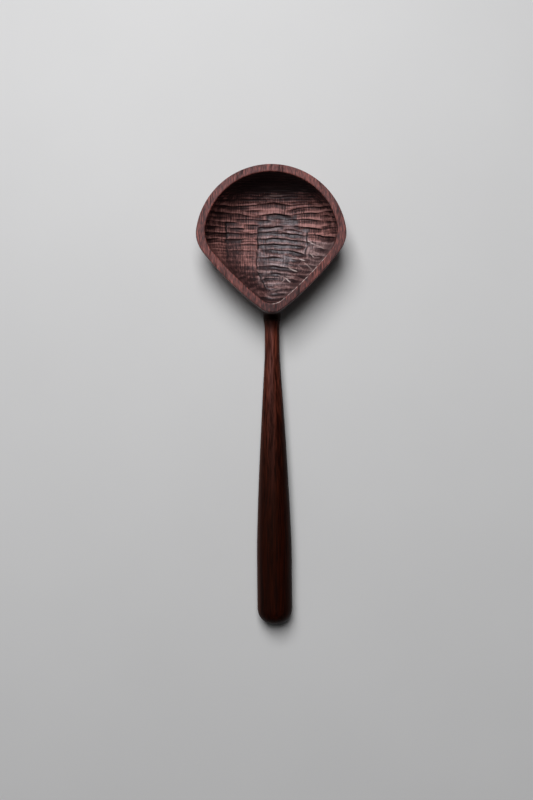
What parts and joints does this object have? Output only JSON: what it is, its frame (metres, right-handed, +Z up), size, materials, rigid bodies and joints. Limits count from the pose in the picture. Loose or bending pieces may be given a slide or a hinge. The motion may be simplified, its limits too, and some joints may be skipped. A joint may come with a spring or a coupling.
{
  "type": "wooden spoon",
  "caption": "Wooden serving spoon: a deep gouge-carved bowl, round at its far end and blunt-pointed at the neck, with a flat rim, and a long tapered round handle.",
  "frame": {"origin": "on the table, under the centre of the bowl, in the middle of its flat foot", "axes": "+Z up, +Y towards the far, round end of the bowl, the handle runs along -Y"},
  "size_m": [0.0812, 0.2514, 0.0295],
  "materials": {
    "bowl_wood": "dark reddish-brown hardwood, oiled, satin, with tool marks inside",
    "handle_wood": "very dark brown hardwood, oiled and polished smooth by handling"
  },
  "bodies": {
    "root": {"bowl": "bowl_wood", "handle": "handle_wood"}
  },
  "joints": []
}
